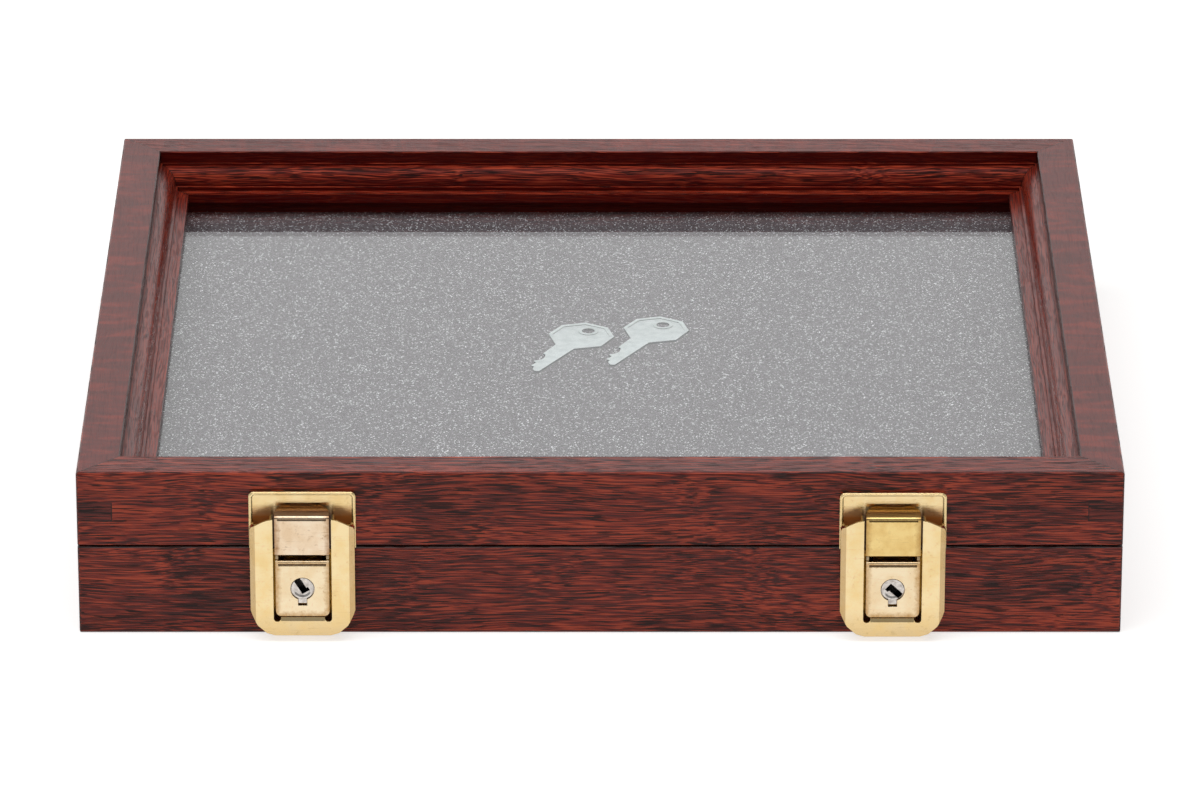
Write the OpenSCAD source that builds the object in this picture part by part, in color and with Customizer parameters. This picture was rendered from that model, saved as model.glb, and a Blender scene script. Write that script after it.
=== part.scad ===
/* [Case] */
// Width of the case, left to right
case_w = 305; // [240:1:420]
// Depth of the case, front to back
case_d = 270; // [200:1:360]
// Height of the base rails
base_h = 27.5; // [26.5:0.5:60]
// Height of the lid rails
lid_h = 23.2; // [19:0.1:40]
// Thickness of the walls of the base and of the lid
wall_t = 12.2; // [10:0.1:18]
// Gap between the closed lid and the base
part_gap = 0.45; // [0.2:0.05:0.6]
// Radius that eases the outer edges of the wood
ease_r = 0.9; // [0.3:0.1:2]

/* [Lid moulding] */
// Depth of the upright wall under the top of the rail
wall_drop = 3.8; // [2:0.1:6]
// Width and drop of the small step under that wall
quirk = 0.7; // [0.4:0.1:1.5]
// Width of the convex moulding
ovolo_w = 4.3; // [3:0.1:7]
// Height of the convex moulding
ovolo_h = 5.4; // [3:0.1:7]
// Width of the bead line under the convex moulding
fillet_w = 0.8; // [0.4:0.1:1.5]
// Drop from that bead line to the flat ledge
fillet_drop = 1.2; // [0.5:0.1:2]
// Width of the flat ledge that ends over the glass
ledge_w = 3.4; // [2:0.1:6]
// Thickness of the lip under the ledge, down to the glass
lip_t = 2.8; // [2:0.1:5]

/* [Corner keys] */
// Length of a corner key along each face of its corner
key_leg = 10.4; // [8:0.1:14]
// Height of a corner key
key_h = 6; // [3:0.1:8]
// Height of a corner key's middle above the bottom edge of the lid
key_mid = 10.7; // [7:0.1:14]

/* [Glass and pad] */
// Thickness of the glass
glass_t = 2.4; // [2:0.1:4]
// Gap between the glass and the wall of its rebate
glass_gap = 0.4; // [0.2:0.1:1]
// Width and height of the strips that hold the glass
stop_s = 2.5; // [2.5:0.1:4]
// Thickness of the bottom panel
panel_t = 4; // [3:0.1:6]
// Height of the bottom panel's underside above the table
panel_z = 3; // [2:0.1:8]
// Depth of the groove that holds the bottom panel
groove_d = 5; // [3:0.1:7]
// Gap between the pad's top and the strips that hold the glass
pad_room = 1.7; // [1.1:0.1:6]
// Gap between the pad and the walls
pad_gap = 0.5; // [0.3:0.1:2]

/* [Hinges] */
// Distance of each hinge from the middle of the case
hinge_x = 92; // [50:1:130]
// Length of a hinge
hinge_l = 38; // [25:1:60]
// Width of a leaf inside the wood
leaf_w = 9.4; // [8.5:0.1:9.8]
// Thickness of a leaf
leaf_t = 1.2; // [0.9:0.1:2]
// Outer radius of the hinge barrel
barrel_r = 2.3; // [2:0.1:3.5]
// Radius of the hinge pin
pin_r = 1.1; // [0.8:0.05:1.5]

/* [Latches] */
// Distance of each latch from the middle of the case
latch_x = 86; // [50:1:110]
// Shift of both latches to the left of the middle, as they were fitted by hand
latch_shift = 0.75; // [0:0.05:2]
// Drop of the right latch below the left one
latch_sag = 0.4; // [0:0.05:0.6]
// Width of the latch cover and of the strike plate
cover_w = 30.6; // [29:0.1:36]
// Distance of the cover's face from the wood
cover_q = 6.4; // [6.2:0.1:7]
// Depth of the latch cover below the parting line
cover_drop = 25.6; // [24.5:0.1:26]
// Height of the cover's shoulders above the parting line
cover_rise = 11.3; // [10:0.1:11.6]
// Half width of the channel in the cover
channel_x = 8.5; // [8.4:0.05:9]
// Thickness of the pressed brass sheet of the cover
sheet_t = 0.9; // [0.7:0.05:1.1]
// Height of the strike plate above the parting line
strike_h = 17.9; // [16:0.1:20]
// Half width of the hook
hook_x = 7.95; // [7.8:0.05:8.2]
// Half width of the lock lever
lever_x = 7.8; // [7.8:0.05:8.1]
// Radius of the lock's plug
plug_r = 3.3; // [2.8:0.05:3.5]

/* [Keys] */
// Thickness of a key
key_t = 0.6; // [0.5:0.1:1.6]
// Width of a key's blade
blade_w = 6; // [4:0.1:7]
// Distance from the key's hole to its tip
key_reach = 35.8; // [30:0.1:45]

/* [Hidden] */

// Colours of the real materials
oak = "#6e2f28";
oak_dark = "#5c2621";
brass = "#d8b878";
nickel = "#cfd3d2";
charcoal = "#57545a";
clear = "#c9d8d4";

// Heights
lid_z = base_h + part_gap;
case_h = lid_z + lid_h;
parting_z = base_h + part_gap / 2;
moulding_w = quirk + ovolo_w + fillet_w + ledge_w;
glass_z = case_h - wall_drop - quirk - ovolo_h - fillet_drop - lip_t - glass_t;
pad_z = panel_z + panel_t;
pad_top = glass_z - stop_s - pad_room;

// Clearances
slip = 0.05;
free = 0.3;

// Points along an arc, from angle a to angle b
function arc(cx, cy, r, a, b, n = 6) =
    [for (i = [0:n]) [cx + r * cos(a + (b - a) * i / n), cy + r * sin(a + (b - a) * i / n)]];

// Points along a quarter of an ellipse, from its top down to its side
function quarter(cx, cy, rx, ry, n = 14) =
    [for (i = [0:n]) [cx + rx * sin(90 * i / n), cy + ry * cos(90 * i / n)]];

// Section of a base rail: wall thickness across, height up
module base_section() {
    difference() {
        polygon(concat(
            arc(ease_r, ease_r, ease_r, 180, 270),
            [[wall_t, 0], [wall_t, base_h]],
            [[0.3, base_h], [0, base_h - 0.3]]
        ));
        translate([wall_t - groove_d, panel_z]) square([groove_d + 1, panel_t + slip]);
    }
}

// Section of a lid rail: flat top, upright wall, convex moulding and ledge over the glass
module lid_section() {
    quirk_z = case_h - wall_drop;
    ovolo_z = quirk_z - quirk - ovolo_h;
    ledge_z = ovolo_z - fillet_drop;
    ovolo_x = wall_t + quirk;
    fillet_x = ovolo_x + ovolo_w;
    polygon(concat(
        [[0.3, lid_z], [wall_t, lid_z], [wall_t, glass_z + glass_t]],
        [[wall_t + moulding_w, glass_z + glass_t], [wall_t + moulding_w, ledge_z]],
        [[fillet_x + fillet_w, ledge_z], [fillet_x + fillet_w, ovolo_z - 0.1], [fillet_x, ovolo_z]],
        [for (p = [14:-1:1]) quarter(ovolo_x, ovolo_z, ovolo_w, ovolo_h)[p]],
        [[ovolo_x, ovolo_z + ovolo_h], [ovolo_x, quirk_z], [wall_t, quirk_z]],
        [[wall_t, case_h - 0.3], [wall_t - 0.3, case_h]],
        arc(ease_r, case_h - ease_r, ease_r, 90, 180),
        [[0, lid_z + 0.3]]
    ));
}

// A straight rail cut to mitres at both ends. It lies along X on the near side
// of a frame whose outer size is run by reach.
module mitred(run, reach, r = ease_r) {
    deep = 40;
    intersection() {
        translate([0, -reach / 2, 0]) rotate([90, 0, 90]) linear_extrude(run, center = true) children();
        linear_extrude(case_h + 1) polygon(concat(
            arc(-run / 2 + r, -reach / 2 + r, r, 225, 270, 4),
            arc(run / 2 - r, -reach / 2 + r, r, 270, 315, 4),
            [[run / 2 - deep, -reach / 2 + deep], [-run / 2 + deep, -reach / 2 + deep]]
        ));
    }
}

// The four sides of a frame, numbered from the front, right, back, left
module side(n) {
    if (n % 2 == 0) rotate(n * 90) mitred(case_w, case_d) children();
    else rotate(n * 90) mitred(case_d, case_w) children();
}

// Hinge line
hinge_y = case_d / 2 + barrel_r + free;

module at_hinge(s) { translate([s * hinge_x, hinge_y, parting_z]) children(); }

// Room for one leaf in the edge of a back rail
module leaf_mortise(s, z) {
    translate([s * hinge_x - hinge_l / 2 - slip, case_d / 2 - leaf_w - slip, z])
        cube([hinge_l + 2 * slip, leaf_w + 1, leaf_t]);
}

// Screws that hold the leaves, in the leaf's own frame
leaf_screws = [-0.36, 0, 0.36];
leaf_screw_r = 1.1;
leaf_screw_head = 2.1;
leaf_screw_l = 8;

// A countersunk screw, or the hole for it. It points down from its head at z = 0.
module screw(r, head, sheet, long, gap = 0) {
    rotate_extrude($fn = 32) polygon([
        [0, 0], [head + gap, 0], [r + gap, -sheet - gap], [r + gap, -long + r], [0, -long - gap]
    ]);
}

module slot_cut(head) { translate([-head, -0.2, -0.35]) cube([2 * head, 0.4, 1]); }

module hinge_screw_set(z, flip, gap = 0) {
    for (s = [-1, 1], p = leaf_screws)
        translate([s * hinge_x + p * hinge_l, case_d / 2 - leaf_w / 2, z]) rotate([flip, 0, 0])
            difference() {
                screw(leaf_screw_r, leaf_screw_head, leaf_t, leaf_screw_l, gap);
                if (gap == 0) slot_cut(leaf_screw_head);
            }
}

// Latch frame: x across, q out from the wood, z up from the parting line
module at_latch(s) {
    translate([s * latch_x - latch_shift, -case_d / 2, parting_z - (s > 0 ? latch_sag : 0)]) children();
}
module across(w) { rotate([90, 0, -90]) linear_extrude(w, center = true) children(); }
module outward(q0, q1) { rotate([90, 0, 0]) translate([0, 0, q0]) linear_extrude(q1 - q0) children(); }
module pillar(z0, z1) { translate([0, 0, z0]) mirror([0, 1, 0]) linear_extrude(z1 - z0) children(); }
module lane(x, t) { for (s = [-1, 1]) translate([s * x, 0, 0]) across(t) children(); }
module rod(q, z, r, x0, x1) {
    translate([x0, -q, z]) rotate([0, 90, 0]) cylinder(h = x1 - x0, r = r, $fn = 40);
}

// Screw positions of a latch plate and of a strike plate, and the screw's sizes
plate_t = 0.8;
plate_screws = [[-3.3, -4.6], [3.3, -4.6], [-6.2, -17.4], [6.2, -17.4]];
strike_screws_at = [[-4.4, 5.6], [4.4, 5.6]];
small_screw_r = 0.9;
small_screw_head = 1.75;
small_screw_l = 8.5;

module latch_screw_set(points, gap = 0) {
    for (p = points) translate([p[0], -plate_t, p[1]]) rotate([90, 0, 0])
        difference() {
            screw(small_screw_r, small_screw_head, plate_t, small_screw_l, gap);
            if (gap == 0) slot_cut(small_screw_head);
        }
}

// Faces of the hook and the lever, a little proud of the cover
metal_t = 1;
face_q = cover_q + 0.4;
back_q = face_q - metal_t;

// Pivot of the lever in the cover's inner walls, and pivot of the hook in the lever's ears
rivet_r = 0.45;
rivet_head_r = 0.75;
lever_q = cover_q - sheet_t - rivet_head_r - slip;
lever_z = 0;
hook_ring = 0.75;
hook_q = back_q - hook_ring - 0.15;
hook_z = -2.9;

// Places along the lever and the hook
lever_top = -1.5;
lever_foot = -19.2;
hook_foot = 0.1;
hook_head = 12.4;
lock_z = -10.5;
lock_back = 1.9;
sleeve_r = 4.4;
lug_w = 2.5;
lug_drop = 2;
ear_x = 7.4;
ear_t = 0.8;
arm_x = 6.15;
arm_t = 0.9;

module base_front_rail() {
    color(oak) difference() {
        side(0) base_section();
        for (s = [-1, 1]) at_latch(s) latch_screw_set(plate_screws, slip);
    }
}

module base_right_rail() { color(oak) side(1) base_section(); }

module base_back_rail() {
    color(oak) difference() {
        side(2) base_section();
        for (s = [-1, 1]) leaf_mortise(s, base_h - leaf_t);
        hinge_screw_set(base_h, 0, slip);
    }
}

module base_left_rail() { color(oak) side(3) base_section(); }

module bottom_panel() {
    in = wall_t - groove_d + 2 * slip;
    color(oak_dark) translate([-case_w / 2 + in, -case_d / 2 + in, panel_z])
        cube([case_w - 2 * in, case_d - 2 * in, panel_t]);
}

module foam_pad() {
    in = wall_t + pad_gap;
    color(charcoal) translate([-case_w / 2 + in, -case_d / 2 + in, pad_z])
        cube([case_w - 2 * in, case_d - 2 * in, pad_top - pad_z]);
}

// Places of the keys on the pad: hole of each key, and the way that it points
key_left_at = [-3.4, 17];
key_right_at = [19.7, 22];
key_turn = -120;

// A flat stamped key. Its hole is at the origin and its blade runs along X.
module flat_key(at) {
    edge = blade_w / 2;
    bow = [
        [14.4, -edge - 0.3], [8, -9.5], [0, -9.4], [-5.4, -4.1],
        [-5.4, 3.9], [0, 9.2], [8.6, 9.5], [14.6, edge + 0.3]
    ];
    blade = [
        [22.6, -edge], [22.8, -edge + 1], [23.9, -edge + 1.5], [25.1, -edge + 1.95],
        [26.3, -edge + 2.05], [27.3, -edge + 1.7], [28, -edge + 1.25], [28.6, -edge + 0.5],
        [29.5, -edge + 0.75], [29.7, -edge + 1.75], [31.4, -edge + 1.8], [32.2, -edge + 1.5],
        [32.8, -edge + 1.9], [32.95, -edge + 2.9], [34.2, -edge + 3.1], [35.1, -edge + 3.8],
        [key_reach, edge - 1.2], [key_reach - 0.6, edge]
    ];
    rim = 1.1;
    relief = 0.15;
    bow_mid = 4.6;
    field = 0.87;
    translate([at[0], at[1], pad_top]) rotate(key_turn) difference() {
        linear_extrude(key_t) difference() {
            polygon(concat(bow, [for (i = [len(blade) - 1:-1:0]) blade[i]]));
            circle(r = 2, $fn = 40);
        }
        // the sunk field inside the border of the bow
        translate([0, 0, key_t - relief]) linear_extrude(1) difference() {
            translate([bow_mid * (1 - field), 0]) scale(field) polygon(bow);
            circle(r = 2 + rim, $fn = 40);
        }
    }
}

module key_left() { color(nickel) flat_key(key_left_at); }
module key_right() { color(nickel) flat_key(key_right_at); }

// A key let in across the mitre of one corner, or the slot for it
module corner_key(x, y, gap = 0) {
    // the outer side follows the eased corner, so that the key lies flush with the wood
    leg = key_leg + gap;
    mirror([x > 0 ? 1 : 0, 0, 0]) mirror([0, y > 0 ? 1 : 0, 0])
        translate([0, 0, lid_z + key_mid - key_h / 2 - gap]) linear_extrude(key_h + 2 * gap)
            polygon(concat(
                arc(-case_w / 2 + ease_r, -case_d / 2 + ease_r, ease_r, 180, 270, 8),
                [[-case_w / 2 + leg, -case_d / 2], [-case_w / 2, -case_d / 2 + leg]]
            ));
}

module corner_slots() {
    for (x = [-1, 1], y = [-1, 1]) corner_key(x, y, 0);
}

module lid_side(n) {
    difference() {
        side(n) lid_section();
        corner_slots();
    }
}

module lid_front_rail() {
    color(oak) difference() {
        lid_side(0);
        for (s = [-1, 1]) at_latch(s) latch_screw_set(strike_screws_at, slip);
    }
}

module lid_right_rail() { color(oak) lid_side(1); }

module lid_back_rail() {
    color(oak) difference() {
        lid_side(2);
        for (s = [-1, 1]) leaf_mortise(s, lid_z);
        hinge_screw_set(lid_z, 180, slip);
    }
}

module lid_left_rail() { color(oak) lid_side(3); }

module lid_corner_keys() {
    color(oak_dark) for (x = [-1, 1], y = [-1, 1]) corner_key(x, y);
}

module glass_pane() {
    in = wall_t + glass_gap;
    color(clear, 0.35) translate([-case_w / 2 + in, -case_d / 2 + in, glass_z])
        cube([case_w - 2 * in, case_d - 2 * in, glass_t]);
}

// Four square strips, mitred at the corners, that hold the glass up from below
module glass_stops() {
    color(oak_dark) for (n = [0:3]) rotate(n * 90) {
        run = (n % 2 == 0 ? case_w : case_d) - 2 * wall_t;
        reach = (n % 2 == 0 ? case_d : case_w) - 2 * wall_t;
        mitred(run - 2 * slip, reach, 0.01) translate([0, glass_z - stop_s]) square(stop_s);
    }
}

// One leaf of a butt hinge with its knuckles. up is 1 for the lid's leaf, -1 for the base's.
module hinge_leaf(up) {
    third = hinge_l / 3;
    plate_z = up > 0 ? part_gap / 2 : -part_gap / 2 - leaf_t;
    in_wood = leaf_w + barrel_r + free;
    spans = up > 0 ? [[-third / 2, third / 2]] : [[-hinge_l / 2, -third / 2], [third / 2, hinge_l / 2]];
    difference() {
        union() {
            // the plate, which stops short of the other leaf's knuckles
            translate([-hinge_l / 2, -in_wood, plate_z]) cube([hinge_l, leaf_w - 0.1, leaf_t]);
            for (p = spans) {
                x0 = p[0] + slip;
                long = p[1] - p[0] - 2 * slip;
                translate([x0, -in_wood, plate_z]) cube([long, in_wood, leaf_t]);
                translate([x0, 0, 0]) rotate([0, 90, 0]) cylinder(h = long, r = barrel_r, $fn = 48);
            }
        }
        translate([-hinge_l, 0, 0]) rotate([0, 90, 0]) cylinder(h = 2 * hinge_l, r = pin_r + slip, $fn = 48);
    }
}

module fitted_leaf(s, up) {
    color(brass) difference() {
        at_hinge(s) hinge_leaf(up);
        hinge_screw_set(up > 0 ? lid_z : base_h, up > 0 ? 180 : 0, slip);
    }
}

module hinge_leaf_base_left() { fitted_leaf(-1, -1); }
module hinge_leaf_base_right() { fitted_leaf(1, -1); }
module hinge_leaf_lid_left() { fitted_leaf(-1, 1); }
module hinge_leaf_lid_right() { fitted_leaf(1, 1); }

module hinge_pin(s) {
    cap = 0.8;
    color(brass) at_hinge(s) rotate([0, 90, 0]) {
        cylinder(h = hinge_l, r = pin_r, center = true, $fn = 48);
        for (e = [-1, 1])
            translate([0, 0, e * (hinge_l + cap) / 2])
                cylinder(h = cap, r = barrel_r * 0.8, center = true, $fn = 48);
    }
}

module hinge_pin_left() { hinge_pin(-1); }
module hinge_pin_right() { hinge_pin(1); }
module hinge_screws_base() { color(brass) hinge_screw_set(base_h, 0); }
module hinge_screws_lid() { color(brass) hinge_screw_set(lid_z, 180); }

// Outline of the strike plate, drawn in by the given amount
module strike_outline(in) {
    r = 1.5 - in * 0.5;
    w = cover_w / 2 + 0.25 - in;
    foot = part_gap / 2;
    translate([-w, foot]) square([2 * w, strike_h - in - r - foot]);
    translate([-w + r, foot]) square([2 * (w - r), strike_h - in - foot]);
    for (s = [-1, 1]) translate([s * (w - r), strike_h - in - r]) circle(r = r, $fn = 40);
}

// Strike plate with its raised rim and the small pressed lip that the hook draws on
module strike_plate(s) {
    rim_w = 0.95;
    rim_q = 1.6;
    lip_x = 3.4;
    lip_z = 12.6;
    lip_q = 1.25;
    color(brass) at_latch(s) difference() {
        union() {
            outward(0, plate_t) strike_outline(0);
            outward(0, rim_q - 0.25) difference() { strike_outline(0); strike_outline(rim_w); }
            outward(0, rim_q) difference() { strike_outline(0.25); strike_outline(rim_w - 0.1); }
            across(2 * lip_x) polygon([[0.4, lip_z - 2], [lip_q, lip_z - 0.6], [lip_q, lip_z], [0.4, lip_z]]);
        }
        latch_screw_set(strike_screws_at, slip);
    }
}

module strike_plate_left() { strike_plate(-1); }
module strike_plate_right() { strike_plate(1); }
module strike_screws() { color(brass) for (s = [-1, 1]) at_latch(s) latch_screw_set(strike_screws_at); }

// Outline of the latch cover seen from the front, drawn in by the given amount
module cover_outline(in) {
    w = cover_w / 2 - in;
    top = cover_rise - in;
    foot = -cover_drop + in;
    cut_x = 7.2 - in * 0.4;
    cut_z = 7.4 - in * 0.4;
    half = [
        [w - cut_x, foot], [w - cut_x * 0.66, foot + cut_z * 0.1], [w - cut_x * 0.3, foot + cut_z * 0.42],
        [w - cut_x * 0.08, foot + cut_z * 0.8], [w, foot + cut_z],
        [w, top - 3.9], [w - 0.4, top - 2.9], [w - 1.4, top - 2.1],
        [w - 3, top - 1.3], [w - 4.8, top - 0.5], [w - 7, top]
    ];
    polygon(concat(half, [for (i = [len(half) - 1:-1:0]) [-half[i][0], half[i][1]]]));
}

// Section of the pressed cover: side walls, bevels and face
module cover_section(in) {
    w = cover_w / 2 - in;
    bevel = 1.6 - in * 0.4;
    polygon([
        [-w, -1], [w, -1], [w, cover_q - in - bevel], [w - bevel, cover_q - in],
        [-w + bevel, cover_q - in], [-w, cover_q - in - bevel]
    ]);
}

module cover_body(in) {
    intersection() {
        pillar(-cover_drop - 1, cover_rise + 1) cover_section(in);
        outward(-1, cover_q + 1) cover_outline(in);
    }
}

// Latch cover: a pressed shell with an open channel for the hook and the lever
module latch_cover(s) {
    clear_q = 2;
    slot_x = 6.4;
    slot_z = -21.2;
    slot_r = (channel_x - slot_x) / 2;
    bend_z = -19.9;
    color(brass) at_latch(s) difference() {
        union() {
            // the shell is open at its top, where the strike plate slides in
            difference() {
                cover_body(0);
                cover_body(sheet_t);
                translate([0, 0, 2 * sheet_t]) cover_body(sheet_t);
            }
            // inner walls of the channel
            intersection() {
                cover_body(0);
                lane(channel_x + sheet_t / 2, sheet_t)
                    translate([-1, slot_z + 1]) square([cover_q + 1, cover_rise - slot_z - 1]);
            }
        }
        // the channel through the face, and the two slots beside the bent strip
        outward(-1, cover_q + 1) {
            translate([-channel_x, bend_z]) square([2 * channel_x, cover_rise - bend_z + 1]);
            for (x = [-1, 1]) translate([x * (channel_x - slot_r), slot_z + slot_r]) {
                circle(r = slot_r, $fn = 32);
                translate([-slot_r, 0]) square([2 * slot_r, 3]);
            }
        }
        // the strip's upper edge slopes into the channel
        across(2 * slot_x) polygon([
            [cover_q, slot_z + 0.2], [cover_q + 1, slot_z + 0.2],
            [cover_q + 1, bend_z + 1], [cover_q - 0.85, bend_z + 1]
        ]);
        // the latch plate lies under the walls, and the strike plate slides up behind them
        translate([-cover_w, -plate_t, -cover_drop - 1])
            cube([2 * cover_w, 5, cover_drop + cover_rise + 2]);
        translate([-cover_w, -clear_q, -part_gap]) cube([2 * cover_w, 5, cover_rise + 2]);
        // bores for the lever's rivets
        rod(lever_q, lever_z, rivet_r + slip, -channel_x - 1, channel_x + 1);
    }
}

module latch_cover_left() { latch_cover(-1); }
module latch_cover_right() { latch_cover(1); }

// Flat plate behind the cover, with the raised keeper that the lock's tongue turns under
module latch_plate(s) {
    in = 0.25;
    keeper_x = 2.6;
    keeper_top = -16.1;
    keeper_foot = -18.4;
    keeper_q = 2.9;
    color(brass) at_latch(s) difference() {
        union() {
            intersection() {
                outward(0, plate_t) cover_outline(in);
                translate([-cover_w, -2, -cover_drop - 1]) cube([2 * cover_w, 4, cover_drop + 1 - part_gap]);
            }
            across(2 * keeper_x) polygon([
                [0.4, keeper_foot], [keeper_q - 0.4, keeper_foot],
                [keeper_q, keeper_foot + 0.4], [keeper_q, keeper_top],
                [keeper_q - 0.8, keeper_top], [keeper_q - 0.8, keeper_foot + 0.8],
                [0.4, keeper_foot + 0.8]
            ]);
        }
        latch_screw_set(plate_screws, slip);
    }
}

module latch_plate_left() { latch_plate(-1); }
module latch_plate_right() { latch_plate(1); }
module latch_screws() { color(brass) for (s = [-1, 1]) at_latch(s) latch_screw_set(plate_screws); }

// Short rivets from the walls of the channel into the lever's ears
module lever_rivets() {
    outer = channel_x + sheet_t;
    head = 0.6;
    color(brass) for (s = [-1, 1], e = [-1, 1]) at_latch(s) mirror([e > 0 ? 0 : 1, 0, 0]) {
        rod(lever_q, lever_z, rivet_r, ear_x - ear_t / 2 - slip, outer);
        rod(lever_q, lever_z, rivet_head_r, outer, outer + head);
    }
}

// Outline of the lever's face, with its rounded foot and the keyhole
module lever_outline() {
    r = 1.6;
    difference() {
        union() {
            translate([-lever_x, lever_foot + r]) square([2 * lever_x, lever_top - lever_foot - r]);
            translate([-lever_x + r, lever_foot]) square([2 * (lever_x - r), r + 1]);
            for (x = [-1, 1]) translate([x * (lever_x - r), lever_foot + r]) circle(r = r, $fn = 32);
        }
        translate([0, lock_z]) circle(r = plug_r + 0.25, $fn = 64);
        translate([-lug_w / 2 - 2 * slip, lock_z - plug_r - lug_drop - slip])
            square([lug_w + 4 * slip, lug_drop + 1]);
    }
}

// Lock lever: a pressed plate with two ears that hang on the rivets and carry the hook's pin
module lock_lever(s) {
    bead_r = 0.5;
    line_r = 0.45;
    ring = 0.85;
    ear_back = hook_q - hook_ring - 0.3;
    color(brass) at_latch(s) difference() {
        union() {
            outward(back_q, face_q) lever_outline();
            rod(face_q - 0.05, lever_top - bead_r, bead_r, -lever_x + 0.6, lever_x - 0.6);
            lane(ear_x, ear_t) polygon(concat(
                arc(lever_q, lever_z, ring, 0, 180, 12),
                [[ear_back, hook_z], [ear_back, -15], [back_q + 0.1, -17.4], [back_q + 0.1, lever_top - 0.4]]
            ));
        }
        // pressed line under the bead
        rod(face_q + 0.2, lever_top - 2 * bead_r - line_r, line_r, -lever_x + 0.9, lever_x - 0.9);
        rod(lever_q, lever_z, rivet_r + slip, -lever_x - 1, lever_x + 1);
        rod(hook_q, hook_z, rivet_r + slip, -lever_x - 1, lever_x + 1);
    }
}

module lock_lever_left() { lock_lever(-1); }
module lock_lever_right() { lock_lever(1); }

module hook_pin(s) { color(brass) at_latch(s) rod(hook_q, hook_z, rivet_r, -lever_x, lever_x); }
module hook_pin_left() { hook_pin(-1); }
module hook_pin_right() { hook_pin(1); }

// Draw hook: a face plate whose head bends back to the strike plate, on two curved arms
// that pass behind the top of the lever down to the hook's pin
module draw_hook(s) {
    nose_q = 1.65;
    nose_z = 14;
    notch_x = 3.4;
    corner_r = 3.4;
    bend_r = 0.9;
    c_in = 2.6;
    c_out = 3.35;
    color(brass) at_latch(s) difference() {
        union() {
            intersection() {
                across(2 * hook_x) polygon(concat(
                    [[back_q, hook_foot], [face_q - 0.2, hook_foot], [face_q, hook_foot + 0.25]],
                    arc(face_q - bend_r, hook_head - bend_r, bend_r, 0, 76, 5),
                    [[nose_q, nose_z], [nose_q, nose_z - metal_t]],
                    [[back_q - 0.2, hook_head - metal_t - 0.15], [back_q, hook_head - metal_t - 0.45]]
                ));
                pillar(hook_foot - 1, nose_z + 1) difference() {
                    union() {
                        translate([-hook_x, nose_q + corner_r]) square([2 * hook_x, face_q]);
                        translate([-hook_x + corner_r, nose_q]) square([2 * (hook_x - corner_r), face_q]);
                        for (x = [-1, 1])
                            translate([x * (hook_x - corner_r), nose_q + corner_r])
                                circle(r = corner_r, $fn = 48);
                    }
                    translate([-notch_x, 0]) square([2 * notch_x, nose_q + 0.45]);
                }
            }
            lane(arm_x, arm_t) {
                translate([hook_q, hook_z]) circle(r = hook_ring, $fn = 40);
                polygon(concat(
                    arc(hook_q, hook_z, c_out, 187, 72, 12),
                    arc(hook_q, hook_z, c_in, 72, 170, 10),
                    [[hook_q - 0.4, hook_z + 0.4], [hook_q - 0.4, hook_z - 0.4]]
                ));
                polygon([
                    [hook_q, hook_z + c_out - 0.35], [back_q + 0.2, hook_foot],
                    [back_q + 0.2, hook_foot + 2.2], [hook_q, hook_z + c_out]
                ]);
            }
        }
        // pressed line under the bend
        rod(face_q + 0.3, hook_head - bend_r - 0.1, 0.45, -hook_x + 0.9, hook_x - 0.9);
        rod(hook_q, hook_z, rivet_r + slip, -hook_x, hook_x);
    }
}

module draw_hook_left() { draw_hook(-1); }
module draw_hook_right() { draw_hook(1); }

// Sleeve of the lock behind the lever, with the lug that fills the notch of the keyhole
module lock_barrel(s) {
    lug_room = 0.6;
    color(nickel) at_latch(s) difference() {
        union() {
            outward(lock_back, back_q) translate([0, lock_z]) circle(r = sleeve_r, $fn = 64);
            outward(lock_back + 1, back_q + 0.6)
                translate([-lug_w / 2, lock_z - plug_r - lug_drop + lug_room])
                    square([lug_w, lug_drop + 0.5 - lug_room]);
        }
        outward(0, face_q + 1) translate([0, lock_z]) circle(r = plug_r + slip, $fn = 64);
    }
}

module lock_barrel_left() { lock_barrel(-1); }
module lock_barrel_right() { lock_barrel(1); }

// Turning plug with its keyway, which runs from behind the middle out through the rim
module lock_plug(s, turn) {
    way_w = 2;
    way_back = 1.6;
    foot_w = 1.1;
    foot_drop = 0.55;
    dish_r = 2.2;
    dish_deep = 0.3;
    color(nickel) at_latch(s) translate([0, 0, lock_z]) difference() {
        union() {
            outward(lock_back + 0.1, face_q - 0.25) circle(r = plug_r, $fn = 64);
            outward(plate_t + 0.9, lock_back + 0.1) circle(r = 1.2, $fn = 32);
        }
        // dished face inside a narrow rim
        translate([0, -face_q + 0.25 + dish_deep, 0]) rotate([90, 0, 0])
            cylinder(h = dish_deep + 0.1, r1 = dish_r, r2 = plug_r - 0.3, $fn = 64);
        outward(lock_back + 1.2, face_q) rotate(turn) {
            translate([-way_back, -way_w / 2]) square([way_back + plug_r + 1, way_w]);
            translate([-way_back, -way_w / 2 - foot_drop]) square([foot_w, foot_drop + 0.2]);
        }
    }
}

module lock_plug_left() { lock_plug(-1, 120); }
module lock_plug_right() { lock_plug(1, -42); }

// Tongue on the back of the plug. It points sideways when unlocked.
module lock_tongue(s) {
    long = 6.5;
    half = 1.3;
    color(brass) at_latch(s) translate([0, 0, lock_z]) outward(plate_t + 0.3, plate_t + 0.9)
        polygon(concat(
            arc(0, 0, 2, 40, 320, 12),
            [[long - 0.4, -half], [long, -half + 0.4], [long, half - 0.4], [long - 0.4, half]]
        ));
}

module lock_tongue_left() { lock_tongue(-1); }
module lock_tongue_right() { lock_tongue(1); }

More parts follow.
